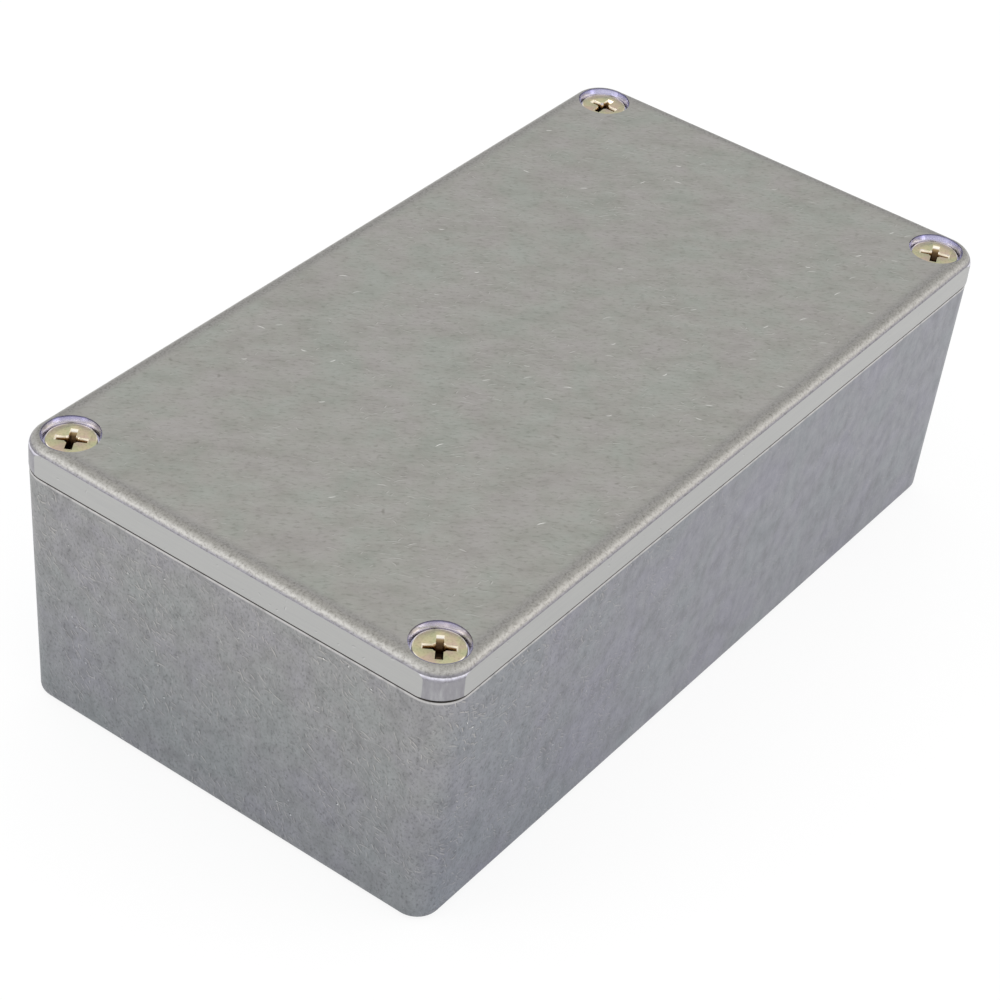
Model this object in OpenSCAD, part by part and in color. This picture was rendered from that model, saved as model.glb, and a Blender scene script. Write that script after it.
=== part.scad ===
// Die cast aluminium instrument box: a drafted base with a screw boss in each corner,
// a lid with ground sides that laps into it with a tongue, and four countersunk screws.
// Millimetres. +Z is up and X runs along the box. The origin is the middle of the underside.

/* [Box] */
// Length of the closed box, at the joint between base and lid
box_l = 120; // [90:1:200]
// Width of the closed box, at the joint
box_w = 65; // [50:1:140]
// Height of the closed box, base and lid together
box_h = 40; // [28:1:55]
// Radius of the base's four upright corners at the joint
corner_r = 4.3; // [4:0.1:7]
// Draft of the base's walls, in degrees from upright
draft = 1.7; // [1:0.1:2.2]

/* [Base casting] */
// Thickness of the side walls
wall = 2; // [1.6:0.1:3]
// Thickness of the floor
floor_t = 2.2; // [1.6:0.1:4]
// Rounding of the outer bottom edge
bottom_r = 1.1; // [0.6:0.1:1.8]
// Rounding inside, where the walls meet the floor
floor_r = 1; // [0.5:0.1:1.1]
// Rounding of the rim's outer edge
rim_r = 0.3; // [0.1:0.05:0.5]

/* [Screw bosses] */
// Distance from each screw's axis to the two outer faces beside it
screw_inset = 4.8; // [4.6:0.1:8]
// Radius of a boss at the rim
boss_r = 3.9; // [3.2:0.1:5]
// Rounding inside, where a boss meets the walls at the rim
boss_fillet = 2.4; // [2.2:0.1:4]
// Depth of the blind hole below the screw's tip
hole_spare = 4; // [2:0.5:8]
// Chamfer round the mouth of the hole
hole_chamfer = 0.3; // [0.1:0.1:0.8]

/* [Ejector marks] */
// Diameter of the shallow marks that the die's ejector pins leave inside
mark_d = 5; // [3:0.5:7]
// Depth of the marks
mark_depth = 0.15; // [0.1:0.05:0.3]
// Distance of the outer marks from the box's outer faces
mark_inset = 15; // [13:0.5:20]

/* [Lid casting] */
// Height of the lid's edge
lid_h = 4.5; // [4:0.1:8]
// Thickness of the lid's plate
lid_t = 2.2; // [1.6:0.1:3]
// How much more the radius of the lid's cast corners is than that of the base's
lid_corner_step = 0.4; // [0:0.1:0.8]
// Rounding of the lid's top edge, as cast
lid_edge_r = 1.7; // [1.4:0.1:2.2]
// Depth ground off the lid's four sides, which leaves a crease under the top edge
grind = 0.15; // [0.1:0.01:0.2]
// Rounding of the lid's lower edge, at the joint
lid_foot_r = 0.4; // [0.25:0.05:0.5]
// Height of the tongue that laps into the base
tongue_h = 1.5; // [0.8:0.1:3]
// Thickness of the tongue
tongue_t = 1.4; // [1:0.1:2.5]
// Clearance between the tongue and the base's walls and bosses
tongue_gap = 0.2; // [0.1:0.05:0.4]

/* [Screws] */
// Outer diameter of the thread
screw_d = 3.5; // [3:0.1:4]
// Length of a screw, head included
screw_l = 12; // [10:1:16]
// Diameter of the countersunk head
head_d = 6.3; // [5.8:0.1:7.2]
// Angle of the head's cone, in degrees
head_angle = 90; // [82:1:100]
// Thickness of the head's edge
head_land = 0.3; // [0.2:0.05:0.5]
// Chamfer round the top of the head
head_chamfer = 0.1; // [0.05:0.05:0.15]
// Chamfer at the tip
tip_chamfer = 0.5; // [0.2:0.1:0.8]
// Width across the cross recess
cross_w = 4.1; // [3.4:0.1:4.4]
// Depth of the cross recess
cross_depth = 1.9; // [1.4:0.1:2.2]
// Thickness of the cross recess's wings
cross_t = 0.9; // [0.6:0.05:1.1]

/* [Screw seats] */
// Depth of the head's top below the lid's face
head_sink = 0.8; // [0.3:0.05:1.2]
// Diameter of the recess at the lid's face
recess_d = 7.3; // [7.2:0.1:7.8]
// Clearance round the head's edge
head_gap = 0.15; // [0.1:0.05:0.3]
// Clearance under the head's cone
seat_gap = 0.05; // [0.02:0.01:0.1]
// Diameter of the lid's clearance holes
screw_hole_d = 4; // [3.8:0.1:4.6]
// Clearance all round between the thread and the boss's hole
thread_gap = 0.05; // [0.02:0.01:0.1]

/* [Hidden] */
$fn = 48;
fillet_fn = 16; // segments of the small edge roundings
wedge_reach = 2.5; // reach of the wedge that cuts a sector out of a disc, in radii
least_flat = 0.1; // flat left beside a rounding that its wall limits
lap = 0.01; // overlap of cuts and joined pieces
clear = 1; // how far a cut runs past the face that it opens

// Turn of each screw's cross recess about its axis, in degrees
turn_front_left = 35;
turn_front_right = 22;
turn_rear_left = 32;
turn_rear_right = 3;

slope = tan(draft);
base_h = box_h - lid_h;
cavity_h = base_h - floor_t;
fillet = min(boss_fillet, screw_inset - wall - least_flat); // it ends before the boss's axis
floor_fillet = min(floor_r, fillet - slope * cavity_h - least_flat);
inner_l = box_l - 2 * wall;
inner_w = box_w - 2 * wall;
screw_x = box_l / 2 - screw_inset;
screw_y = box_w / 2 - screw_inset;
lid_corner_r = corner_r + lid_corner_step;
head_z = box_h - head_sink;
head_cone_h = (head_d - screw_d) / 2 / tan(head_angle / 2);
tip_z = head_z - screw_l;
hole_r = screw_d / 2 + thread_gap;
hole_bottom_z = tip_z - hole_spare;
drill_angle = 118; // point angle of the drill that makes the holes
drill_point_h = hole_r / tan(drill_angle / 2);
wing_angle = 26.5; // lean of the cross recess's wings from upright
core_ratio = 1.9; // the cross recess's core against its wings' thickness
core_foot_ratio = 0.6; // the core's foot against its mouth
cross_core_d = core_ratio * cross_t;
cross_foot_d = core_foot_ratio * cross_core_d;
cast_colour = [0.62, 0.62, 0.61];
lid_colour = [0.66, 0.66, 0.64];
plate_colour = [0.74, 0.70, 0.56];

// Sector of a disc about the origin, between two angles up to 120 degrees apart.
module sector(r, from, to) {
    intersection() {
        circle(r, $fn = fillet_fn);
        polygon([
            [0, 0],
            for (turn = [from, (from + to) / 2, to]) wedge_reach * r * [cos(turn), sin(turn)],
        ]);
    }
}

// Upright section through the rim of a cast form, from x = 0 to the outer face at x = r.
// The face leans in by the draft angle towards z = 0, where its edge has radius foot_r,
// and the edge at z = h has radius top_r.
module edge_section(r, h, foot_r, top_r, draft) {
    out = [cos(draft), -sin(draft)];
    foot = [r - tan(draft) * (h - foot_r) - foot_r / cos(draft), foot_r];
    top = [r - tan(draft) * top_r - top_r / cos(draft), h - top_r];
    polygon([
        [0, 0],
        [foot.x, 0],
        foot,
        foot + foot_r * out,
        top + top_r * out,
        if (top_r > 0) top,
        if (top_r > 0) [top.x, h],
        [0, h],
    ]);
    translate(foot) sector(foot_r, -90, -draft);
    if (top_r > 0) translate(top) sector(top_r, -draft, 90);
}

// Runs a section from one point to another, with its outer face on the +Y or +X side.
module along_x(from, to, y) {
    translate([from, y, 0]) rotate([90, 0, 90]) linear_extrude(to - from) children();
}

module along_y(from, to, x) {
    translate([x, to, 0]) rotate([90, 0, 0]) linear_extrude(to - from) children();
}

// Turns a section through a quarter circle about the upright axis at x, y.
module round_corner(x, y, start = 0) {
    translate([x, y, 0]) rotate(start) rotate_extrude(angle = 90) children();
}

// Repeats what stands in the quarter where x and y are positive in the other three.
module in_quarters() {
    for (x = [0, 1], y = [0, 1]) mirror([x, 0, 0]) mirror([0, y, 0]) children();
}

// A block that stands on z = 0, l by w at its top, with upright corners of radius r there.
// One edge section runs along its sides and round its corners, and all meet face to face.
module cast_block(l, w, h, r, foot_r, top_r, draft) {
    x = l / 2 - r;
    y = w / 2 - r;
    module edge() { edge_section(r, h, foot_r, top_r, draft); }
    in_quarters() {
        cube([x, y, h]);
        along_x(0, x, y) edge();
        along_y(0, y, x) edge();
        round_corner(x, y) edge();
    }
}

// Puts its children on all four screw axes.
module at_screws() {
    in_quarters() translate([screw_x, screw_y, 0]) children();
}

// Plan of a rectangle with rounded corners, about the origin.
module rounded_plan(l, w, r) {
    square([l, w - 2 * r], center = true);
    square([l - 2 * r, w], center = true);
    if (r > 0) for (x = [-1, 1], y = [-1, 1]) translate([x * (l / 2 - r), y * (w / 2 - r)]) circle(r);
}

// Plan of the base's mouth between its walls and bosses, drawn in by inset all round.
module mouth_plan(inset) {
    r = max(fillet - inset, 0);
    rounded_plan(inner_l - 2 * inset, 2 * (screw_y - boss_r - inset), r);
    rounded_plan(2 * (screw_x - boss_r - inset), inner_w - 2 * inset, r);
    difference() {
        square([2 * screw_x, 2 * screw_y], center = true);
        for (x = [-1, 1], y = [-1, 1]) translate([x * screw_x, y * screw_y]) circle(boss_r + inset);
    }
}

// The hollow of the base. One section runs along the walls, round the four inside corners
// of each bay, and round the front of each boss, so that all of them share the floor's
// rounding. Everything inside that run is one upright core.
module cavity() {
    depth = cavity_h + lap;
    end_x = inner_l / 2 - fillet;
    side_y = inner_w / 2 - fillet;
    boss_x = screw_x - boss_r - fillet;
    boss_y = screw_y - boss_r - fillet;
    module edge() { edge_section(fillet, depth, floor_fillet, 0, draft); }
    translate([0, 0, floor_t]) {
        linear_extrude(depth) mouth_plan(fillet);
        in_quarters() {
            along_y(0, boss_y, end_x) edge();
            round_corner(end_x, boss_y) edge();
            along_x(screw_x, end_x, boss_y) edge();
            round_corner(screw_x, screw_y, 180) translate([boss_r + fillet, 0]) mirror([1, 0]) edge();
            along_y(screw_y, side_y, boss_x) edge();
            round_corner(boss_x, side_y) edge();
            along_x(0, boss_x, side_y) edge();
        }
    }
}

// A blind hole in a boss for the screw's thread, with a drill point and a chamfered mouth.
module boss_hole() {
    translate([0, 0, hole_bottom_z]) cylinder(h = base_h - hole_bottom_z + lap, r = hole_r);
    translate([0, 0, hole_bottom_z - drill_point_h]) cylinder(h = drill_point_h, r1 = 0, r2 = hole_r);
    translate([0, 0, base_h - hole_chamfer])
        cylinder(h = hole_chamfer + lap, r1 = hole_r, r2 = hole_r + hole_chamfer + lap);
}

// Three pairs of shallow ejector marks, cut from z = 0 downwards.
module ejector_marks() {
    mark_x = box_l / 2 - mark_inset;
    mark_y = box_w / 2 - mark_inset;
    for (x = [-mark_x, 0, mark_x], y = [-mark_y, mark_y])
        translate([x, y, -mark_depth]) cylinder(h = mark_depth + clear, d = mark_d);
}

module base() {
    color(cast_colour) difference() {
        cast_block(box_l, box_w, base_h, corner_r, bottom_r, rim_r, draft);
        cavity();
        translate([0, 0, floor_t]) ejector_marks();
        at_screws() boss_hole();
    }
}

// The lid's outer form. It is cast a little larger than the box, and its sides are ground
// flat to size, so its corners and its top edge keep their cast rounding.
module ground_block() {
    intersection() {
        translate([0, 0, box_h]) mirror([0, 0, 1]) cast_block(
            box_l + 2 * grind, box_w + 2 * grind, lid_h, lid_corner_r, lid_edge_r, lid_foot_r, 0
        );
        translate([-box_l / 2, -box_w / 2, base_h - clear]) cube([box_l, box_w, lid_h + 2 * clear]);
    }
}

// What a screw needs in the lid, as one turned cutter: a hole, a seat for the head's cone
// and a tapered recess.
module screw_seat() {
    hole_z = base_h - tongue_h - clear;
    land_z = head_z - head_land - seat_gap;
    cone_z = land_z - (head_d - screw_hole_d) / 2 / tan(head_angle / 2);
    rotate_extrude() polygon([
        [0, hole_z],
        [screw_hole_d / 2, hole_z],
        [screw_hole_d / 2, cone_z],
        [head_d / 2, land_z],
        [head_d / 2 + head_gap, land_z],
        [recess_d / 2, box_h],
        [recess_d / 2, box_h + lap],
        [0, box_h + lap],
    ]);
}

module lid() {
    tongue_inset = tongue_gap + slope * tongue_h;
    hollow_inset = tongue_inset + tongue_t;
    tongue_z = base_h - tongue_h;
    color(lid_colour) difference() {
        union() {
            ground_block();
            translate([0, 0, tongue_z]) linear_extrude(tongue_h + lap) mouth_plan(tongue_inset);
        }
        translate([0, 0, tongue_z - lap])
            linear_extrude(box_h - lid_t - tongue_z + lap) mouth_plan(hollow_inset);
        translate([0, 0, box_h - lid_t]) mirror([0, 0, 1]) ejector_marks();
        at_screws() screw_seat();
    }
}

// The tapered cross recess, cut down from z = 0: two crossing wings and a pointed core.
module cross_recess() {
    foot_half = cross_w / 2 - cross_depth * tan(wing_angle);
    for (turn = [0, 90]) rotate([90, 0, turn]) linear_extrude(cross_t, center = true)
        polygon([
            [-cross_w / 2, 0],
            [-foot_half, -cross_depth],
            [foot_half, -cross_depth],
            [cross_w / 2, 0],
            [cross_w / 2, clear],
            [-cross_w / 2, clear],
        ]);
    translate([0, 0, -cross_depth - cross_core_d / 4])
        cylinder(h = cross_core_d / 4, d1 = 0, d2 = cross_foot_d);
    translate([0, 0, -cross_depth])
        cylinder(h = cross_depth + lap, d1 = cross_foot_d, d2 = cross_core_d);
}

// A countersunk screw with the top of its head at z = 0 and its shank pointing down.
module screw() {
    difference() {
        rotate_extrude() polygon([
            [0, 0],
            [head_d / 2 - head_chamfer, 0],
            [head_d / 2, -head_chamfer],
            [head_d / 2, -head_land],
            [screw_d / 2, -head_land - head_cone_h],
            [screw_d / 2, -screw_l + tip_chamfer],
            [screw_d / 2 - tip_chamfer, -screw_l],
            [0, -screw_l],
        ]);
        cross_recess();
    }
}

// A screw in its hole: side_x and side_y pick the corner, and turn sets its cross recess.
module placed_screw(side_x, side_y, turn) {
    color(plate_colour) translate([side_x * screw_x, side_y * screw_y, head_z]) rotate(turn) screw();
}

base();
lid();
placed_screw(-1, -1, turn_front_left);  // screw_front_left
placed_screw(1, -1, turn_front_right);  // screw_front_right
placed_screw(-1, 1, turn_rear_left);  // screw_rear_left
placed_screw(1, 1, turn_rear_right);  // screw_rear_right
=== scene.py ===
# %% [markdown]
# # A die cast aluminium box, dressed for its portrait
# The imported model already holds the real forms: a drafted base with a screw boss in each
# corner, a lid whose sides were ground flat, and four countersunk screws. This lesson adds
# what a caliper doesn't measure. It gives each surface the finish that its making left,
# turns real threads on the screws, and lights the whole as a small studio would.

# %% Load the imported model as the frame
import math
import bmesh
import bpy
import numpy as np
from mathutils import Matrix, Vector


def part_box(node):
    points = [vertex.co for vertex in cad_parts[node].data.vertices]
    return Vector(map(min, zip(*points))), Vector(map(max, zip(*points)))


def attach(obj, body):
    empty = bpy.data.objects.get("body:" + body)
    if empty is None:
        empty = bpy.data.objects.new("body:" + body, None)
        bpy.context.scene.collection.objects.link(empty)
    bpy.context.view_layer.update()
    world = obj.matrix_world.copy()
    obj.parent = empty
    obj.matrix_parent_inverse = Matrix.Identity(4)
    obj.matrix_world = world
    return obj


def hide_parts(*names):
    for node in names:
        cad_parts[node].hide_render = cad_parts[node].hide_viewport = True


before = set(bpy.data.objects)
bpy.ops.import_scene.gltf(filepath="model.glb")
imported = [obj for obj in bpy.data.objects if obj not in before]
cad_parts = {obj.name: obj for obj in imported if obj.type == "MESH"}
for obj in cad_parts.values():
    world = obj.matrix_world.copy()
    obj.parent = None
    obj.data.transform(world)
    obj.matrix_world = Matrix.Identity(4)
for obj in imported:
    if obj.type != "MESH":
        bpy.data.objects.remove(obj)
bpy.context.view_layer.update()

MM = 0.001
TOUCH = 0.003 * MM                               # nearer to a face than this is on it
lid_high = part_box("lid")[1]
half_l = lid_high.x
half_w = lid_high.y
joint_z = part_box("base")[1].z
top_z = lid_high.z
print("box", [round(side / MM, 2) for side in (2 * half_l, 2 * half_w, top_z)], "mm")

# %% [markdown]
# ## Two small helpers
# Colours are picked as sRGB hex, as a paint chart gives them, but Blender's nodes count in
# linear light, so one function turns the one into the other. A second one adds a node of
# any kind: its own settings are named, and the values of its sockets follow in order.

# %% Helpers for colours and nodes
def linear(code):
    """The linear colour of an sRGB hex code such as "#9b9994"."""
    parts = [int(code[i:i + 2], 16) / 255 for i in (1, 3, 5)]
    return [p / 12.92 if p <= 0.04045 else ((p + 0.055) / 1.055) ** 2.4 for p in parts] + [1.0]


def add(tree, kind, *values, stops=(), **settings):
    """Adds a node with its settings, and fills its sockets in order.

    A value is a number, a vector, a hex colour, another node or one of its outputs, and
    None leaves a socket alone. The stops of a ramp are (position, hex colour) pairs."""
    node = tree.nodes.new("ShaderNode" + kind)
    for name, value in settings.items():
        setattr(node, name, value)
    for index, (position, code) in enumerate(stops):
        points = node.color_ramp.elements
        point = points[index] if index < 2 else points.new(1.0)
        point.position = position
        point.color = linear(code)
    for socket, value in zip([each for each in node.inputs if each.enabled], values):
        if isinstance(value, bpy.types.Node):
            value = next(output for output in value.outputs if output.enabled)
        if isinstance(value, bpy.types.NodeSocket):
            tree.links.new(value, socket)
        elif value is not None:
            socket.default_value = linear(value) if isinstance(value, str) else value
    return node


print("linear mid grey", [round(part, 3) for part in linear("#808080")])

# %% [markdown]
# ## Where a surface lies tells what was done to it
# A die leaves a fine grainy skin everywhere. Tumbling in stones smooths the outside and
# wears the edges bright. A belt then grinds the lid's sides, a cutter sinks the screw
# seats, and the joint faces are sanded so that they meet. So each finish is found by its
# place: masks are worked out from the piece's own coordinates, and stay with it when it
# moves. A mask is a number from 0 to 1, and a colour or a roughness is blended by it.

# %% A material's start and end
RELIEF = 0.05 * MM


def start_metal(name):
    """A new material: it, its node tree, and the piece's own coordinates in metres."""
    material = bpy.data.materials.new(name)
    material.use_nodes = True
    tree = material.node_tree
    tree.nodes.clear()
    return material, tree, add(tree, "TexCoord").outputs["Object"]


def close_metal(tree, colour, roughness, height, strength):
    """A metal's shader, in which a height of one stands RELIEF high at full strength."""
    relief = add(tree, "Bump", strength, RELIEF, None, height)
    shader = add(tree, "BsdfPrincipled", colour, 1.0, roughness, None, None, relief)
    add(tree, "OutputMaterial", shader)


def split(tree, place):
    """The three coordinates, with x and y made positive, as the box is alike in quarters."""
    parts = add(tree, "SeparateXYZ", place)
    return (add(tree, "Math", parts.outputs[0], operation="ABSOLUTE"),
            add(tree, "Math", parts.outputs[1], operation="ABSOLUTE"), parts.outputs[2])


def outline_reach(tree, x, y, corner_r, spare):
    """How far a point lies out from the four corner axes, or from the lines between them.

    It is corner_r all along the outline of a block that is spare larger than the box."""
    out_x = add(tree, "Math", x, half_l + spare - corner_r, operation="SUBTRACT")
    out_y = add(tree, "Math", y, half_w + spare - corner_r, operation="SUBTRACT")
    offset = add(tree, "CombineXYZ", add(tree, "Math", out_x, 0.0, operation="MAXIMUM"),
                 add(tree, "Math", out_y, 0.0, operation="MAXIMUM"))
    return add(tree, "VectorMath", offset, operation="LENGTH")


print("masks follow x, y, z and the outline")

# %% [markdown]
# ## The patterns of a tumbled casting
# Cloudy noise stands for the mottled skin. The marks of the tumbling stones are short thin
# strokes, each with its own lean, length and strength. Drawn as stretched noise they come
# out combed, all one way. So a cell pattern gives each cell one random colour, and its
# three parts turn, pick and fade one stroke at the cell's own point.

# %% Clouds and strokes
def mottle(tree, place, size_mm, detail=3.0, rough=0.55, stretch=(1, 1, 1), turn=0.0):
    """Cloudy noise with features of about size_mm, drawn out along axes turned about z."""
    axes = add(tree, "Mapping", place, None, (0, 0, math.radians(turn)), stretch,
               vector_type="TEXTURE")
    return add(tree, "TexNoise", axes, 1 / (size_mm * MM), detail, rough)


def strokes(tree, flat, cell_mm, length_mm, width_mm, lean, spread, share):
    """One bent stroke in a share of the cells, leaning by about lean degrees.

    flat holds two coordinates on the surface. A stroke is a shallow groove, so it comes
    as two masks, side by side: its lit bank and its shaded one."""
    cells = add(tree, "TexVoronoi", flat, 1 / (cell_mm * MM), voronoi_dimensions="2D")
    draw = add(tree, "SeparateColor", cells.outputs["Color"])
    offset = add(tree, "VectorMath", flat, cells.outputs["Position"], operation="SUBTRACT")
    angle = add(tree, "MapRange", draw.outputs[0], 0.0, 1.0,
                math.radians(-lean - spread), math.radians(-lean + spread))
    turned = add(tree, "VectorRotate", offset, None, angle, rotation_type="Z_AXIS")
    along = add(tree, "SeparateXYZ", turned)
    # It is from half of length_mm to all of it long, and bows by up to 0.15 of that
    half = add(tree, "MapRange", draw.outputs[1], 0.0, 1.0,
               0.25 * length_mm * MM, 0.5 * length_mm * MM)
    run = add(tree, "Math", along.outputs[0], half, operation="DIVIDE")
    run = add(tree, "Math", run, operation="ABSOLUTE")
    fade = add(tree, "MapRange", run, 1.0, 0.3, interpolation_type="SMOOTHSTEP")
    weight = add(tree, "MapRange", draw.outputs[2], share, 0.0, 0.0, 1.0)
    drawn = add(tree, "Math", fade, weight, operation="MULTIPLY")
    bend = add(tree, "MapRange", draw.outputs[1], 0.0, 1.0, -0.15 * length_mm * MM,
               0.15 * length_mm * MM)
    bow = add(tree, "Math", run, run, operation="MULTIPLY")
    across = add(tree, "Math", bow, bend, along.outputs[1], operation="MULTIPLY_ADD")
    banks = []
    for side in (-0.4, 0.4):
        from_bank = add(tree, "Math", across, side * width_mm * MM, operation="SUBTRACT")
        from_bank = add(tree, "Math", from_bank, operation="ABSOLUTE")
        edge = add(tree, "MapRange", from_bank, 0.5 * width_mm * MM, 0.1 * width_mm * MM)
        banks.append(add(tree, "Math", drawn, edge, operation="MULTIPLY"))
    return banks


print("patterns ready")

# %% [markdown]
# ## Die cast aluminium, tumbled: the base
# The alloy is aluminium with about ten per cent silicon, pressed into a steel die and then
# tumbled with ceramic stones. To the eye that gives a quiet grey metal with a soft sheen,
# mottled like fine concrete, a little bluer than the lid, and pecked all over with short
# pale scuffs. Aluminium is a metal, so it is fully metallic with the default IOR, and a
# tumbled face has a roughness of about a half. Its silicon skin is far darker than
# polished aluminium.

# %% The base's casting
CORNER_R = 4.3 * MM                              # at the joint
DRAFT = math.tan(math.radians(1.7))
WALL = 2.0 * MM
ABOVE_FLOOR = 1.5 * MM                           # a height within the thickness of the floor
THREAD_PITCH = 0.6 * MM
BORE_R = 1.95 * MM                               # a little wider than the screw's hole
BORE_CHAMFER = 0.31 * MM
WORN_END = -1.0                                  # the end that has rubbed on its neighbours
WORN_REACH = 55 * MM                             # from the middle to where the rubbing is full
RIM_FROM, RIM_FULL = 0.48 * MM, 0.36 * MM        # depths below the joint
SEAM_SHADE_FROM, SEAM_SHADE_FULL = 0.19 * MM, 0.10 * MM
# The colour of the painted shade in the joint between lid and base
SEAM_SHADE_COLOUR = "#46433f"
screw_low, screw_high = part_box("screw_rear_right")
screw_x = (screw_low.x + screw_high.x) / 2
screw_y = (screw_low.y + screw_high.y) / 2


def from_screws(tree, x, y):
    """The distance to the nearest screw's axis, and the angle about it."""
    side_x = add(tree, "Math", x, screw_x, operation="SUBTRACT")
    side_y = add(tree, "Math", y, screw_y, operation="SUBTRACT")
    offset = add(tree, "CombineXYZ", side_x, side_y)
    return (add(tree, "VectorMath", offset, operation="LENGTH"),
            add(tree, "Math", side_y, side_x, operation="ARCTAN2"))


def inside_skin(tree, place):
    """What the die leaves where nothing rubs: pale, with long soft flow marks."""
    flow = mottle(tree, place, 7.0, 4.0, 0.6, (1, 1, 3))
    return add(tree, "ValToRGB", flow,
               stops=((0.34, "#87878a"), (0.50, "#9a9a9b"), (0.66, "#aaaaa8")))


def make_base_metal():
    material, tree, place = start_metal("die_cast_aluminium_tumbled")
    x, y, z = split(tree, place)
    parts = add(tree, "SeparateXYZ", place)
    # Clouds of tint, and the long walls painted a little bluer, as the bluish light that falls on
    # them
    cloud = mottle(tree, place, 9.0, 3.0, 0.6)
    tint = add(tree, "ValToRGB", cloud,
               stops=((0.36, "#a2a4a3"), (0.50, "#a3a3a3"), (0.64, "#a4a3a6")))
    on_side = add(tree, "MapRange", x, half_l - 1.0 * MM, half_l - 4.0 * MM)
    tint = add(tree, "Mix", on_side, tint, add(tree, "Mix", 1.0, tint, "#f6f7ff",
                                               data_type="RGBA", blend_type="MULTIPLY"),
               data_type="RGBA")
    tone = mottle(tree, place, 1.8, 5.0, 0.6, (1, 1, 1.4))
    tone_colour = add(tree, "ValToRGB", tone,
                      stops=((0.30, "#e6e6e6"), (0.50, "#f6f6f6"), (0.68, "#ffffff")))
    colour = add(tree, "Mix", 1.0, tint, tone_colour, data_type="RGBA", blend_type="MULTIPLY")
    # The real grain is about 0.1 mm, and is drawn at 0.35 mm so that it shows
    grain = mottle(tree, place, 0.35, 3.0, 0.65, (1, 1, 1.3))
    grain_colour = add(tree, "ValToRGB", grain,
                       stops=((0.30, "#d2d2d3"), (0.46, "#f8f8f8"), (0.62, "#ffffff")))
    # One end is rubbed more than the rest
    worn = add(tree, "MapRange", add(tree, "Math", parts.outputs[0], WORN_END,
                                     operation="MULTIPLY"), 0.0, WORN_REACH)
    rubbed = add(tree, "MapRange", worn, 0.0, 1.0, 0.22, 1.0)
    colour = add(tree, "Mix", rubbed, colour,
                 add(tree, "Mix", 1.0, colour, grain_colour, data_type="RGBA",
                     blend_type="MULTIPLY"), data_type="RGBA")
    # Scuffs: the walls are unrolled, so that one coordinate runs round and one goes up
    round_walls = add(tree, "Math", parts.outputs[0], parts.outputs[1], operation="SUBTRACT")
    unrolled = add(tree, "CombineXYZ", round_walls, z)
    knocks = mottle(tree, place, 6.5, 2.0, 0.5)
    knocks = add(tree, "MapRange", knocks, 0.40, 0.60, 0.15, 1.0)
    knocks = add(tree, "Math", knocks, rubbed, operation="MULTIPLY")
    lit_small, shaded_small = strokes(tree, unrolled, 0.9, 1.5, 0.20, -40, 45, 0.75)
    lit_large, shaded_large = strokes(tree, unrolled, 1.6, 2.6, 0.24, -30, 40, 0.55)
    lit = add(tree, "Math", lit_small, lit_large, operation="MAXIMUM")
    lit = add(tree, "Math", lit, knocks, operation="MULTIPLY")
    shaded = add(tree, "Math", shaded_small, shaded_large, operation="MAXIMUM")
    shaded = add(tree, "Math", shaded, knocks, operation="MULTIPLY")
    # The scuffs' lit banks are painted pale, partly their own colour and partly a painted highlight,
    # and their shaded banks are painted dark as their shade
    pale = add(tree, "Math", lit, 0.60, operation="MULTIPLY")
    colour = add(tree, "Mix", pale, colour, "#cdc8c2", data_type="RGBA")
    dark = add(tree, "Math", shaded, 0.55, operation="MULTIPLY")
    colour = add(tree, "Mix", dark, colour, "#6f6f70", data_type="RGBA")
    # Small dents, each with a painted glint on its lit bank and painted shade on its shaded bank
    glint, pit_shade = strokes(tree, unrolled, 2.3, 0.5, 0.22, 0, 90, 0.30)
    colour = add(tree, "Mix", add(tree, "Math", glint, knocks, operation="MULTIPLY"),
                 colour, "#efefed", data_type="RGBA")
    colour = add(tree, "Mix", add(tree, "Math", pit_shade, knocks, operation="MULTIPLY"),
                 colour, "#55555a", data_type="RGBA")
    roughness = add(tree, "Mix", tone, 0.58, 0.46, data_type="FLOAT")
    height = add(tree, "Math", tone, 2.0, grain, operation="MULTIPLY_ADD")
    height = add(tree, "Math", lit, 0.5, height, operation="MULTIPLY_ADD")
    height = add(tree, "Math", shaded, -0.5, height, operation="MULTIPLY_ADD")
    # Painted shade: low on the walls the metal is painted darker and bluer, most at the worn end
    low = add(tree, "MapRange", z, joint_z, 0.0, interpolation_type="SMOOTHSTEP")
    low = add(tree, "Math", low, add(tree, "MapRange", worn, 0.0, 1.0, 0.15, 0.8),
              operation="MULTIPLY")
    colour = add(tree, "Mix", low, colour,
                 add(tree, "Mix", 1.0, colour, "#e4e8ef", data_type="RGBA",
                     blend_type="MULTIPLY"), data_type="RGBA")
    # The rim under the lid: its rounded edge is painted bright as a highlight and made smoother, and
    # the joint above it is painted dark as its shade
    rim_highlight = add(tree, "MapRange", z, joint_z - RIM_FROM, joint_z - RIM_FULL,
              interpolation_type="SMOOTHSTEP")
    rim_highlight = add(tree, "Math", rim_highlight, add(tree, "MapRange", tone, 0.36, 0.5, 0.45, 1.0),
              operation="MULTIPLY")
    colour = add(tree, "Mix", rim_highlight, colour, "#bfbdbc", data_type="RGBA")
    roughness = add(tree, "Mix", rim_highlight, roughness, 0.36, data_type="FLOAT")
    # Painted shade in the joint, just under the lid
    seam_shade = add(tree, "MapRange", z, joint_z - SEAM_SHADE_FROM, joint_z - SEAM_SHADE_FULL,
                interpolation_type="SMOOTHSTEP")
    colour = add(tree, "Mix", seam_shade, colour, SEAM_SHADE_COLOUR, data_type="RGBA")
    roughness = add(tree, "Mix", seam_shade, roughness, 0.7, data_type="FLOAT")
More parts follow.
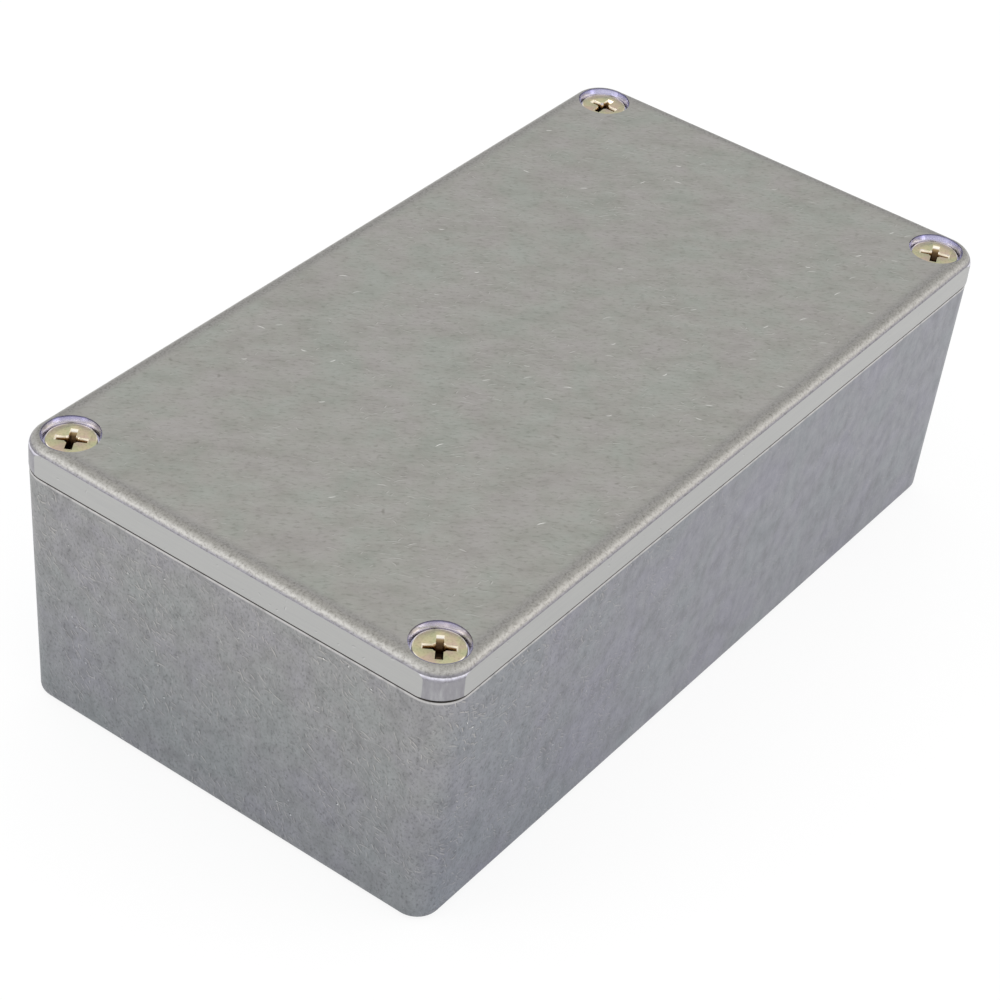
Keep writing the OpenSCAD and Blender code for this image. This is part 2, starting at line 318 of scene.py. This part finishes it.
    # The hollow is as it came out of the die, and the top of the rim is sanded flat
    reach = outline_reach(tree, x, y, CORNER_R, 0.0)
    depth = add(tree, "Math", joint_z, z, operation="SUBTRACT")
    reach = add(tree, "Math", depth, DRAFT, reach, operation="MULTIPLY_ADD")
    inner = add(tree, "Math", reach, CORNER_R - 0.6 * WALL, operation="LESS_THAN")
    above = add(tree, "Math", z, ABOVE_FLOOR, operation="GREATER_THAN")
    inner = add(tree, "Math", inner, above, operation="MULTIPLY")
    colour = add(tree, "Mix", inner, colour, inside_skin(tree, place), data_type="RGBA")
    roughness = add(tree, "Mix", inner, roughness, 0.48, data_type="FLOAT")
    height = add(tree, "Math", height, add(tree, "Mix", inner, 1.0, 0.35, data_type="FLOAT"),
                 operation="MULTIPLY")
    face = add(tree, "Math", z, joint_z - TOUCH, operation="GREATER_THAN")
    swirl = mottle(tree, place, 0.3, 2.0, 0.6, (8, 1, 1), 30)
    sanded = add(tree, "ValToRGB", swirl, stops=((0.3, "#a5a5a4"), (0.6, "#bdbdbc")))
    colour = add(tree, "Mix", face, colour, sanded, data_type="RGBA")
    roughness = add(tree, "Mix", face, roughness, 0.38, data_type="FLOAT")
    # Threads in the blind holes, as a helix of painted light and shade with its own relief
    radius, angle = from_screws(tree, x, y)
    bore = add(tree, "Math", radius, BORE_R, operation="LESS_THAN")
    bore = add(tree, "Math", bore, add(tree, "Math", z, joint_z - BORE_CHAMFER,
                                       operation="LESS_THAN"), operation="MULTIPLY")
    bore = add(tree, "Math", bore, above, operation="MULTIPLY")
    turns = add(tree, "Math", angle, 1 / (2 * math.pi), operation="MULTIPLY")
    helix = add(tree, "Math", z, 1 / THREAD_PITCH, turns, operation="MULTIPLY_ADD")
    ridge = add(tree, "Math", helix, 0.5, operation="PINGPONG")
    thread = add(tree, "ValToRGB", ridge, stops=((0.10, "#6d6d6c"), (0.40, "#c4c4c2")))
    colour = add(tree, "Mix", bore, colour, thread, data_type="RGBA")
    cut = add(tree, "Math", bore, ridge, operation="MULTIPLY")
    height = add(tree, "Math", cut, 8.0, height, operation="MULTIPLY_ADD")
    close_metal(tree, colour, roughness, height, 0.5)
    return material


def dress(node_name, material):
    """Puts a material in every slot of a node that keeps its CAD mesh."""
    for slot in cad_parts[node_name].material_slots:
        slot.material = material
    print(node_name, "wears", material.name, "of", len(material.node_tree.nodes), "nodes")


dress("base", make_base_metal())

# %% [markdown]
# ## The lid: one casting, four finishes
# The lid comes from a second die. Its top is tumbled and then handled, so it is smoother
# and a little warmer than the base, with small shallow dents and short flecks that lie
# across it, their lit and shaded banks painted as light and shade, and a few painted
# glints. The rounded top edge is worn to a pale, speckled line that is partly a painted
# highlight, with painted shade at its crease and a bright painted highlight low on the
# corners. The ground sides are clean light metal, and the corners between them keep the
# darker skin of the die. The screw recesses were cut, so their walls shine, with a painted
# highlight and painted shade just under their rims. A fast way would be one grey for all,
# but these four finishes are what make a casting look like one.

# %% The lid's casting
LID_CORNER_R = 4.7 * MM
EDGE_R = 1.7 * MM
GRIND = 0.15 * MM                                # ground off each side of the cast block
RECESS_R = 3.72 * MM                             # a little wider than the recess
RECESS_SHADE = 1.1 * MM                          # how deep its wall's shading runs
SEAT_R = 2.1 * MM                                # a little wider than the screw's hole
SKIRT = 0.8 * MM                                 # of the skirt's thickness, left as outside
HOLLOW_TOP = 2.35 * MM                           # above the joint
FOOT_FROM, FOOT_FULL = 0.13 * MM, 0.09 * MM      # heights above the joint


def edge_profile(tree, reach, place):
    """The colours across the rounded top edge, from the flat top out to the upright side.

    On the ground sides the rounding ends at a crease, at 0.91 of the way. Only the four
    corners go all the way out to the die's own skin."""
    way = add(tree, "MapRange", reach, LID_CORNER_R - EDGE_R, LID_CORNER_R)
    clouds = mottle(tree, place, 0.9, 3.0, 0.6)
    shift = add(tree, "MapRange", clouds, 0.3, 0.7, -0.06, 0.06)
    early = add(tree, "MapRange", way, 0.85, 0.7, 0.0, 1.0)
    way = add(tree, "Math", shift, early, way, operation="MULTIPLY_ADD")
    # Painted light on the rounding: a pale band that is partly wear and partly a painted highlight,
    # painted shade just before the crease, and past it, on the corners only, a painted highlight low
    # on the rounding
    profile = add(tree, "ValToRGB", way,
                  stops=((0.0, "#959390"), (0.16, "#94928e"), (0.40, "#9b9994"),
                         (0.54, "#a8a6a1"), (0.68, "#b3b1ad"), (0.76, "#b0aeaa"),
                         (0.85, "#99979a"), (0.905, "#8b8990"), (0.93, "#f2f0f8"),
                         (0.955, "#d8d6e2"), (0.985, "#9a989f"), (1.0, "#9a989f")))
    specks = mottle(tree, place, 0.33, 4.0, 0.75)
    speck_colour = add(tree, "ValToRGB", specks,
                       stops=((0.34, "#bcbab8"), (0.50, "#f2f2f2"), (0.60, "#ffffff")))
    return add(tree, "Mix", 0.8, profile, speck_colour, data_type="RGBA",
               blend_type="MULTIPLY"), specks


def make_lid_metal():
    material, tree, place = start_metal("die_cast_aluminium_ground")
    x, y, z = split(tree, place)
    reach = outline_reach(tree, x, y, LID_CORNER_R, GRIND)
    # Top: clouds of tint and tone, and a grain that is drawn at twice its real size
    cloud = mottle(tree, place, 8.0, 3.0, 0.6)
    tint = add(tree, "ValToRGB", cloud,
               stops=((0.36, "#9fa19b"), (0.50, "#a1a09b"), (0.64, "#a3a09d")))
    tone = mottle(tree, place, 2.4, 5.0, 0.6, (1.8, 1, 1), -52)
    tone_colour = add(tree, "ValToRGB", tone,
                      stops=((0.30, "#f0f0ee"), (0.50, "#fafaf9"), (0.66, "#ffffff")))
    colour = add(tree, "Mix", 1.0, tint, tone_colour, data_type="RGBA", blend_type="MULTIPLY")
    grain = mottle(tree, place, 0.4, 3.0, 0.6, (2.2, 1, 1), -52)
    grain_colour = add(tree, "ValToRGB", grain,
                       stops=((0.30, "#dededc"), (0.46, "#fafafa"), (0.7, "#ffffff")))
    colour = add(tree, "Mix", 0.8, colour, grain_colour, data_type="RGBA",
                 blend_type="MULTIPLY")
    # Flecks and dents, thicker on the ground in some places, with their lit and shaded banks painted
    # as light and shade, and a few painted glints
    knocks = mottle(tree, place, 9.0, 2.0, 0.5)
    knocks = add(tree, "MapRange", knocks, 0.42, 0.60, 0.2, 1.0)
    lit_long, shaded_long = strokes(tree, place, 2.1, 2.4, 0.16, -52, 25, 0.55)
    lit_short, shaded_short = strokes(tree, place, 1.2, 1.0, 0.17, -45, 60, 0.45)
    lit = add(tree, "Math", lit_long, lit_short, operation="MAXIMUM")
    lit = add(tree, "Math", lit, knocks, operation="MULTIPLY")
    shaded = add(tree, "Math", shaded_long, shaded_short, operation="MAXIMUM")
    shaded = add(tree, "Math", shaded, knocks, operation="MULTIPLY")
    colour = add(tree, "Mix", add(tree, "Math", lit, 0.45, operation="MULTIPLY"), colour,
                 "#d2d1cd", data_type="RGBA")
    colour = add(tree, "Mix", add(tree, "Math", shaded, 0.35, operation="MULTIPLY"), colour,
                 "#6d6b66", data_type="RGBA")
    grime = strokes(tree, place, 7.0, 1.6, 0.5, -40, 90, 0.35)[0]
    colour = add(tree, "Mix", add(tree, "Math", grime, 0.45, operation="MULTIPLY"), colour,
                 "#6a6860", data_type="RGBA")
    glint = strokes(tree, place, 4.5, 1.6, 0.15, -48, 35, 0.22)[0]
    colour = add(tree, "Mix", add(tree, "Math", glint, 0.9, operation="MULTIPLY"), colour,
                 "#f2f1ee", data_type="RGBA")
    roughness = add(tree, "Mix", tone, 0.54, 0.44, data_type="FLOAT")
    swell = mottle(tree, place, 1.7, 1.0, 0.4, (1.4, 1, 1), -60)
    height = add(tree, "Math", swell, 2.6, grain, operation="MULTIPLY_ADD")
    height = add(tree, "Math", lit, 0.4, height, operation="MULTIPLY_ADD")
    height = add(tree, "Math", shaded, -0.6, height, operation="MULTIPLY_ADD")
    # The rounded edge, and below it at the corners the skin of the die
    edge_colour, specks = edge_profile(tree, reach, place)
    edge = add(tree, "MapRange", reach, LID_CORNER_R - 1.7 * EDGE_R,
               LID_CORNER_R - 0.9 * EDGE_R, interpolation_type="SMOOTHSTEP")
    colour = add(tree, "Mix", edge, colour, edge_colour, data_type="RGBA")
    roughness = add(tree, "Mix", edge, roughness, 0.42, data_type="FLOAT")
    rough_edge = add(tree, "Math", edge, specks, operation="MULTIPLY")
    height = add(tree, "Math", rough_edge, 2.0, height, operation="MULTIPLY_ADD")
    skin = mottle(tree, place, 1.1, 4.0, 0.6, (1, 1, 3))
    skin_colour = add(tree, "ValToRGB", skin,
                      stops=((0.32, "#8f8d92"), (0.52, "#9b9a9e"), (0.68, "#acacae")))
    low = add(tree, "MapRange", z, top_z - 1.3 * MM, top_z - 1.9 * MM,
              interpolation_type="SMOOTHSTEP")
    colour = add(tree, "Mix", low, colour, skin_colour, data_type="RGBA")
    # The ground sides
    on_end = add(tree, "Math", x, half_l - TOUCH, operation="GREATER_THAN")
    on_side = add(tree, "Math", y, half_w - TOUCH, operation="GREATER_THAN")
    ground = add(tree, "Math", on_end, on_side, operation="MAXIMUM")
    lines = mottle(tree, place, 0.25, 2.0, 0.6, (30, 30, 1))
    ground_colour = add(tree, "ValToRGB", lines, stops=((0.3, "#b1b1b0"), (0.7, "#b5b5b3")))
    parts = add(tree, "SeparateXYZ", place)
    round_sides = add(tree, "Math", parts.outputs[0], parts.outputs[1], operation="SUBTRACT")
    unrolled = add(tree, "CombineXYZ", round_sides, z)
    # Small nicks on the ground sides, their shaded bank painted dark as shade and their lit bank
    # painted light as a highlight
    nick_lit_bank, nick_shaded_bank = strokes(tree, unrolled, 1.8, 0.8, 0.18, 20, 60, 0.35)
    ground_colour = add(tree, "Mix", add(tree, "Math", nick_shaded_bank, 0.7, operation="MULTIPLY"),
                        ground_colour, "#8b8b8b", data_type="RGBA")
    ground_colour = add(tree, "Mix", add(tree, "Math", nick_lit_bank, 0.5, operation="MULTIPLY"),
                        ground_colour, "#d6d6d6", data_type="RGBA")
    colour = add(tree, "Mix", ground, colour, ground_colour, data_type="RGBA")
    roughness = add(tree, "Mix", ground, roughness, 0.40, data_type="FLOAT")
    # Painted shade in the joint, under the lid's foot
    foot_shade = add(tree, "MapRange", z, joint_z + FOOT_FROM, joint_z + FOOT_FULL,
               interpolation_type="SMOOTHSTEP")
    colour = add(tree, "Mix", foot_shade, colour, SEAM_SHADE_COLOUR, data_type="RGBA")
    # The recesses: cut walls, with a painted highlight along them and painted shade just under their
    # rims
    radius = from_screws(tree, x, y)[0]
    cut = add(tree, "Math", radius, RECESS_R, operation="LESS_THAN")
    cut = add(tree, "Math", cut, add(tree, "Math", z, joint_z, operation="GREATER_THAN"),
              operation="MULTIPLY")
    below_rim = add(tree, "Math", z, top_z - TOUCH, operation="LESS_THAN")
    cut = add(tree, "Math", cut, below_rim, operation="MULTIPLY")
    wall_way = add(tree, "MapRange", z, top_z - RECESS_SHADE, top_z)
    wall_sheen_and_shade = add(tree, "ValToRGB", wall_way,
                      stops=((0.0, "#b9b7c8"), (0.45, "#dddbf0"), (0.80, "#c4c2dc"),
                             (0.90, "#7a7890"), (0.97, "#6c6a7c")))
    colour = add(tree, "Mix", cut, colour, wall_sheen_and_shade, data_type="RGBA")
    roughness = add(tree, "Mix", cut, roughness, 0.20, data_type="FLOAT")
    # Underneath: as cast, with the tongue and the joint face sanded
    under = add(tree, "Math", z, joint_z + HOLLOW_TOP, operation="LESS_THAN")
    within = add(tree, "Math", reach, LID_CORNER_R - SKIRT, operation="LESS_THAN")
    under = add(tree, "Math", under, within, operation="MULTIPLY")
    around = add(tree, "Math", radius, SEAT_R, operation="GREATER_THAN")
    under = add(tree, "Math", under, around, operation="MULTIPLY")
    colour = add(tree, "Mix", under, colour, inside_skin(tree, place), data_type="RGBA")
    roughness = add(tree, "Mix", under, roughness, 0.48, data_type="FLOAT")
    smooth = add(tree, "Math", ground, add(tree, "Math", cut, 0.9, operation="MULTIPLY"),
                 operation="MAXIMUM")
    height = add(tree, "Math", height, add(tree, "Math", 1.0, smooth, operation="SUBTRACT"),
                 operation="MULTIPLY")
    close_metal(tree, colour, roughness, height, 0.4)
    return material


dress("lid", make_lid_metal())

# %% [markdown]
# ## The screws
# Each screw is cold headed and thread rolled from steel wire, then plated. The packed
# solid has the right head, cone and cross, but a plain shank and knife-sharp edges. Here a
# lathe-like grid of points makes the body: one row of points for each small step down the
# axis, and its radius follows the thread. Then the cross is cut with a boolean, and the
# edges of its mouth are bevelled so that they catch the light as struck metal does.

# %% The screw's body
THREAD_DEPTH = 0.37 * MM
COLUMNS = 64
ROW_STEP = 0.05 * MM
HEAD_LAND = 0.3 * MM
EDGE_ROUND = 0.12 * MM
EDGE_STEPS = 4
CONE_SHARE = 0.97                                # of the cone, before it turns into the shank
SHANK_R = 1.75 * MM
TIP_CHAMFER = 0.5 * MM
RUNOUT = 1.0 * MM
CREST, ROOT = 1 / 16, 3 / 8                      # from a crest's middle, in pitches
head_r = (screw_high.x - screw_low.x) / 2
screw_l = screw_high.z - screw_low.z
cone_h = head_r - SHANK_R


def lathe(rows, name):
    """A closed mesh from (z, radii) rows, where radii holds one radius for each column."""
    turns = np.arange(COLUMNS) * 2 * math.pi / COLUMNS
    points = []
    for z, radii in rows:
        radii = np.broadcast_to(radii, COLUMNS)
        points += [(r * math.cos(t), r * math.sin(t), z) for r, t in zip(radii, turns)]
    count = len(rows)
    faces = [[i * COLUMNS + j, (i + 1) * COLUMNS + j,
              (i + 1) * COLUMNS + (j + 1) % COLUMNS, i * COLUMNS + (j + 1) % COLUMNS]
             for i in range(count - 1) for j in range(COLUMNS)]
    faces.append(list(range(COLUMNS)))
    faces.append([(count - 1) * COLUMNS + j for j in reversed(range(COLUMNS))])
    mesh = bpy.data.meshes.new(name)
    mesh.from_pydata(points, [], faces)
    return mesh


def thread_radii(z):
    """The radii round the shank at a depth, for a single right-hand thread."""
    turns = np.arange(COLUMNS) / COLUMNS
    phase = np.abs((z / THREAD_PITCH - turns) % 1.0 - 0.5)
    groove = np.clip((phase - CREST) / (ROOT - CREST), 0, 1)
    runout = np.clip((-z - HEAD_LAND - cone_h) / RUNOUT, 0, 1)
    end = SHANK_R - max(0.0, TIP_CHAMFER - (z + screw_l))
    return np.minimum(SHANK_R - THREAD_DEPTH * groove * runout, end)


def screw_rows():
    """The head's rounded edge, its land and cone, and then the threaded shank."""
    rows = []
    for step in range(EDGE_STEPS + 1):
        turn = math.pi / 2 * step / EDGE_STEPS
        rows.append((EDGE_ROUND * (math.cos(turn) - 1),
                     head_r - EDGE_ROUND * (1 - math.sin(turn))))
    rows.append((-HEAD_LAND, head_r))
    rows.append((-HEAD_LAND - CONE_SHARE * cone_h, SHANK_R + (1 - CONE_SHARE) * cone_h))
    z = -HEAD_LAND - cone_h
    while z > -screw_l:
        rows.append((z, thread_radii(z)))
        z -= ROW_STEP
    rows.append((-screw_l, thread_radii(-screw_l)))
    return rows


body_mesh = lathe(screw_rows(), "screw_body")
print("screw body", len(body_mesh.polygons), "faces, thread pitch", THREAD_PITCH / MM, "mm")

# %% [markdown]
# The cross is two tapered bars and a pointed core, cut from the head in turn. Real ones are
# struck by a punch of that shape, which needs its taper to come out again.

# %% The cross recess
CROSS_W = 4.1 * MM
CROSS_T = 0.9 * MM
CROSS_DEPTH = 1.9 * MM
OVER_CUT = 0.2 * MM                              # how far the cutters stand out of the face
WING_LEAN = math.tan(math.radians(26.5))
WING_DRAFT = math.tan(math.radians(4))
CORE_CONES = ((-2.3, -1.9, 0.02, 0.5), (-1.9, 0.2, 0.5, 0.92))   # z and radii at both ends, mm
MOUTH_R = 2.4 * MM
MOUTH_ANGLE = 0.5                                # radians
MOUTH_BEVEL = 0.05 * MM


def wedge(turn, name):
    """One pair of wings as a tapered bar that starts a little above the head's face."""
    corners = []
    for z in (OVER_CUT, -CROSS_DEPTH):
        reach = CROSS_W / 2 + z * WING_LEAN
        half = CROSS_T / 2 + z * WING_DRAFT
        corners += [(-reach, -half, z), (reach, -half, z), (reach, half, z), (-reach, half, z)]
    mesh = bpy.data.meshes.new(name)
    faces = [(0, 1, 2, 3), (7, 6, 5, 4), (0, 4, 5, 1), (1, 5, 6, 2), (2, 6, 7, 3), (3, 7, 4, 0)]
    mesh.from_pydata(corners, [], faces)
    mesh.transform(Matrix.Rotation(math.radians(turn), 4, "Z"))
    return mesh


def core():
    """The pointed middle of the recess."""
    mesh = bpy.data.meshes.new("core")
    shape = bmesh.new()
    for low, high, r_low, r_high in CORE_CONES:
        bmesh.ops.create_cone(shape, cap_ends=True, segments=24, radius1=r_low * MM,
                              radius2=r_high * MM, depth=(high - low) * MM,
                              matrix=Matrix.Translation((0, 0, (low + high) / 2 * MM)))
    bmesh.ops.remove_doubles(shape, verts=shape.verts, dist=1e-6)
    shape.to_mesh(mesh)
    shape.free()
    return mesh


def cut_cross(mesh):
    """The screw with its cross cut, as a new mesh."""
    scene = bpy.context.scene.collection
    blank = bpy.data.objects.new("blank", mesh)
    scene.objects.link(blank)
    cutters = [bpy.data.objects.new("cutter", m) for m in (wedge(0, "wing"), wedge(90, "wing"),
                                                          core())]
    for cutter in cutters:
        scene.objects.link(cutter)
        boolean = blank.modifiers.new("cut", "BOOLEAN")
        boolean.object = cutter
        boolean.operation = "DIFFERENCE"
        boolean.solver = "EXACT"
    graph = bpy.context.evaluated_depsgraph_get()
    result = bpy.data.meshes.new_from_object(blank.evaluated_get(graph))
    for used in cutters + [blank]:
        bpy.data.objects.remove(used)
    return result


def soften_mouth(mesh):
    """Bevels the sharp edges where the cross meets the head's face."""
    shape = bmesh.new()
    shape.from_mesh(mesh)
    bmesh.ops.remove_doubles(shape, verts=shape.verts, dist=1e-7)
    mouth = [edge for edge in shape.edges
             if all(abs(v.co.z) < 1e-6 and v.co.xy.length < MOUTH_R for v in edge.verts)
             and len(edge.link_faces) == 2 and edge.calc_face_angle(0) > MOUTH_ANGLE]
    bmesh.ops.bevel(shape, geom=mouth, offset=MOUTH_BEVEL, segments=2, profile=0.5,
                    affect="EDGES", clamp_overlap=True)
    shape.to_mesh(mesh)
    shape.free()
    mesh.polygons.foreach_set("use_smooth", [True] * len(mesh.polygons))
    mesh.set_sharp_from_angle(angle=math.radians(32))
    return len(mouth)


screw_mesh = cut_cross(body_mesh)
print("cross cut,", soften_mouth(screw_mesh), "mouth edges bevelled,",
      len(screw_mesh.polygons), "faces")

# %% [markdown]
# ## Yellow zinc plate
# Zinc plate is passivated in a chromate bath, which leaves a film thin enough to make
# interference colours. To the eye it is a pale straw metal that turns faintly green or
# pink across one head, with painted glints on its edges. The cross has a painted highlight
# at its mouth and grows darker and browner with depth, partly the bath's brown and partly
# painted shade. Plated steel is metallic and fairly smooth, with a roughness near 0.3.

# %% The screws' plating
CROSS_REACH = 2.3 * MM                           # a little past the wings' ends
CROSS_END = 2.4 * MM                             # a little below the core's point
FACE_SKIN = 0.02 * MM
# The painted glints on the head's edge reach this far in
GLINT_BAND = 0.22 * MM                            # in from the head's edge


def make_plating():
    material, tree, place = start_metal("yellow_zinc_plate")
    parts = add(tree, "SeparateXYZ", place)
    film = mottle(tree, place, 2.6, 2.0, 0.5)
    colour = add(tree, "ValToRGB", film,
                 stops=((0.36, "#adae8b"), (0.50, "#b8b08e"), (0.64, "#bba794")))
    grain = mottle(tree, place, 0.3, 3.0, 0.6)
    shade = add(tree, "ValToRGB", grain, stops=((0.30, "#d8d8d6"), (0.50, "#ffffff")))
    colour = add(tree, "Mix", 0.7, colour, shade, data_type="RGBA", blend_type="MULTIPLY")
    offset = add(tree, "CombineXYZ", parts.outputs[0], parts.outputs[1])
    radius = add(tree, "VectorMath", offset, operation="LENGTH")
    near_axis = add(tree, "Math", radius, CROSS_REACH, operation="LESS_THAN")
    above_shank = add(tree, "Math", parts.outputs[2], -CROSS_END, operation="GREATER_THAN")
    in_cross = add(tree, "Math", near_axis, above_shank, operation="MULTIPLY")
    # The cross is painted: a pale highlight near its mouth, then browner and darker with depth,
    # partly the plating's own brown and partly painted shade
    depth = add(tree, "MapRange", parts.outputs[2], 0.0, -CROSS_DEPTH)
    cross_sheen_and_shade = add(tree, "ValToRGB", depth,
                   stops=((0.0, "#f2ead2"), (0.14, "#f7f2ea"), (0.24, "#a08863"),
                          (0.45, "#5a4630"), (0.80, "#382b1f")))
    below = add(tree, "Math", parts.outputs[2], -FACE_SKIN, operation="LESS_THAN")
    in_cross = add(tree, "Math", in_cross, below, operation="MULTIPLY")
    colour = add(tree, "Mix", in_cross, colour, cross_sheen_and_shade, data_type="RGBA")
    # The head's rounded edge is painted with glints in patches, and is smoother there
    brink = add(tree, "MapRange", radius, head_r - GLINT_BAND, head_r - EDGE_ROUND)
    patchy = add(tree, "MapRange", film, 0.44, 0.56)
    edge_glint = add(tree, "Math", brink, patchy, operation="MULTIPLY")
    colour = add(tree, "Mix", edge_glint, colour, "#f6f0dc", data_type="RGBA")
    roughness = add(tree, "Mix", in_cross, 0.32, 0.14, data_type="FLOAT")
    roughness = add(tree, "Mix", edge_glint, roughness, 0.18, data_type="FLOAT")
    close_metal(tree, colour, roughness, grain, 0.15)
    return material


screw_mesh.materials.clear()
screw_mesh.materials.append(make_plating())
print("the screws wear", screw_mesh.materials[0].name)

# %% [markdown]
# A screwdriver leaves each cross where the torque stops it, so each has its own turn.

# %% Drive the four screws home
CROSS_TURNS = {"screw_front_left": 35, "screw_front_right": 22,       # degrees
               "screw_rear_left": 32, "screw_rear_right": 3}


def drive_screw(node_name, turn):
    """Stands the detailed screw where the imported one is, turned as it was left."""
    low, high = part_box(node_name)
    piece = bpy.data.objects.new(node_name + "_threaded", screw_mesh)
    piece.location = ((low.x + high.x) / 2, (low.y + high.y) / 2, high.z)
    piece.rotation_euler = (0, 0, math.radians(turn))
    bpy.context.scene.collection.objects.link(piece)
    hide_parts(node_name)
    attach(piece, node_name)
    print(piece.name, "at", [round(part / MM, 2) for part in piece.location])


for node_name, turn in CROSS_TURNS.items():
    drive_screw(node_name, turn)

# %% [markdown]
# ## The stage
# A pale floor, a soft tent of light and a long lens. The camera looks down at the box from
# the height of someone at a bench.

# %% Camera
FOCAL_MM = 101.76
target = Vector((-8.45, -3.23, 19.83)) * MM
distance = 364.9 * MM
azimuth = math.radians(-57.16)
elevation = math.radians(37.74)
roll = math.radians(6.40)
back = Vector((math.cos(elevation) * math.sin(azimuth),
               -math.cos(elevation) * math.cos(azimuth), math.sin(elevation)))
right = Vector((math.cos(azimuth), math.sin(azimuth), 0))
up = back.cross(right)
axes = Matrix((right * math.cos(roll) + up * math.sin(roll),
               up * math.cos(roll) - right * math.sin(roll), back)).transposed()
camera_data = bpy.data.cameras.new("camera")
camera_data.lens = FOCAL_MM
camera_data.sensor_width = 36
camera_data.clip_start = 0.01
camera = bpy.data.objects.new("camera", camera_data)
camera.matrix_world = Matrix.Translation(target + back * distance) @ axes.to_4x4()
bpy.context.scene.collection.objects.link(camera)
bpy.context.scene.camera = camera
print("camera at", [round(part, 4) for part in camera.matrix_world.translation])

# %% [markdown]
# The floor is paper that looks plain white to the camera and sends up less light than that
# into the metal, so that the walls keep their depth. Two soft lamps, one behind to the left
# and one in front to the right, shade the walls from end to end.

# %% Floor, world and lamps
FLOOR_REACH = 3.0
FLOOR_GLOW = 0.85                                # to the camera
FLOOR_GLOW_IN_METAL = 0.55                       # to what is mirrored
SKY = ((0.0, "#e6e6e8"), (0.40, "#d8d9da"), (0.75, "#ffffff"), (1.0, "#ffffff"))
SKY_STRENGTH = 1.25


def make_floor():
    """A sheet of matt white paper that glows enough to photograph as white."""
    mesh = bpy.data.meshes.new("floor")
    corners = [(x * FLOOR_REACH, y * FLOOR_REACH, 0) for x, y in ((-1, -1), (1, -1), (1, 1), (-1, 1))]
    mesh.from_pydata(corners, [], [(0, 1, 2, 3)])
    floor = bpy.data.objects.new("floor", mesh)
    bpy.context.scene.collection.objects.link(floor)
    material = bpy.data.materials.new("matt_white_paper")
    material.use_nodes = True
    tree = material.node_tree
    tree.nodes.clear()
    path = add(tree, "LightPath")
    mirrored = add(tree, "Math", path.outputs["Is Glossy Ray"],
                   path.outputs["Is Transmission Ray"], operation="MAXIMUM")
    mirrored = add(tree, "Math", mirrored, FLOOR_GLOW_IN_METAL, operation="MULTIPLY")
    glow_share = add(tree, "Math", path.outputs["Is Camera Ray"], FLOOR_GLOW, mirrored,
                     operation="MULTIPLY_ADD")
    paper = add(tree, "BsdfDiffuse", "#fafafa")
    glow = add(tree, "Emission", "#ffffff", 1.0)
    add(tree, "OutputMaterial", add(tree, "MixShader", glow_share, paper, glow))
    mesh.materials.append(material)


def make_world():
    """A tent of light, brightest overhead, that the camera sees as plain white."""
    world = bpy.data.worlds.new("studio")
    bpy.context.scene.world = world
    world.use_nodes = True
    tree = world.node_tree
    tree.nodes.clear()
    path = add(tree, "LightPath")
    around = add(tree, "SeparateXYZ", add(tree, "TexCoord").outputs["Generated"])
    sky = add(tree, "ValToRGB", around.outputs[2], stops=SKY)
    tent = add(tree, "Background", sky, SKY_STRENGTH)
    white = add(tree, "Background", "#ffffff", 1.0)
    add(tree, "OutputWorld", add(tree, "MixShader", path.outputs["Is Camera Ray"], tent, white))


def add_lamp(name, place, size, watts, tint="#ffffff"):
    """A square soft lamp that looks at the box."""
    data = bpy.data.lights.new(name, "AREA")
    data.size = size
    data.energy = watts
    data.color = linear(tint)[:3]
    lamp = bpy.data.objects.new(name, data)
    lamp.location = place
    aim = Vector((0, 0, top_z / 2)) - Vector(place)
    lamp.rotation_euler = aim.to_track_quat("-Z", "Y").to_euler()
    bpy.context.scene.collection.objects.link(lamp)


make_floor()
make_world()
add_lamp("key_lamp", (-0.7, 0.45, 0.45), 0.45, 1.2)
add_lamp("fill_lamp", (0.6, -0.8, 0.5), 0.6, 1.5, "#fffaf4")
bpy.context.scene.view_settings.view_transform = "Standard"
print("stage set with", len(bpy.data.lights), "lamps")
